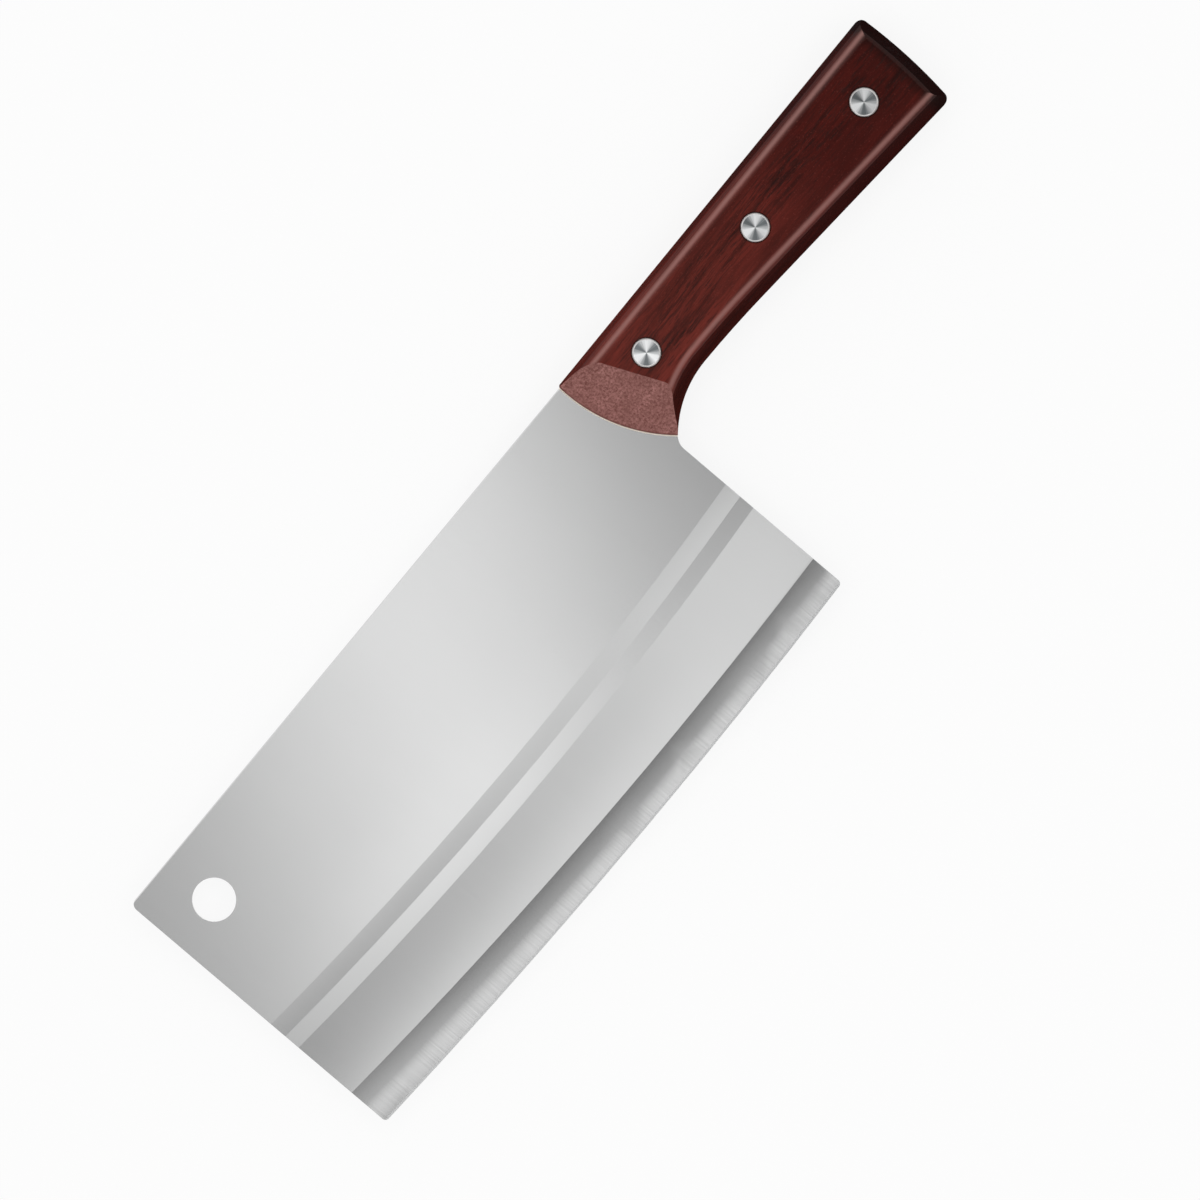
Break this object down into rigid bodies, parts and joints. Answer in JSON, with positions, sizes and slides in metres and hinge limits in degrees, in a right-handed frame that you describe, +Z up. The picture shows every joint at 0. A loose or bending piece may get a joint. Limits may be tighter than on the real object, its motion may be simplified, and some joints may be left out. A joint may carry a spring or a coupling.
{
  "type": "kitchen knife",
  "caption": "Full-tang rectangular slicing knife with ground bands and a hollow bevel, a hang hole and a riveted wooden handle.",
  "frame": {"origin": "middle of the underside of the box round the knife as it lies on its right handle side", "axes": "+X from the butt to the blade's front, +Y from the spine to the cutting edge, +Z up, square to the blade, to the left side"},
  "size_m": [0.2998, 0.0916, 0.0203],
  "materials": {
    "blade_steel": "ground across the blade, with fine lines",
    "handle_wood": "dark red-brown wood, polished, matte on the front facet",
    "rivet_steel": "turned faces with bright bevelled rims"
  },
  "bodies": {
    "root": {"blade": "blade_steel", "left_scale": "handle_wood", "right_scale": "handle_wood", "front_rivet_barrel": "rivet_steel", "front_rivet_pin": "rivet_steel", "middle_rivet_barrel": "rivet_steel", "middle_rivet_pin": "rivet_steel", "rear_rivet_barrel": "rivet_steel", "rear_rivet_pin": "rivet_steel"}
  },
  "joints": []
}
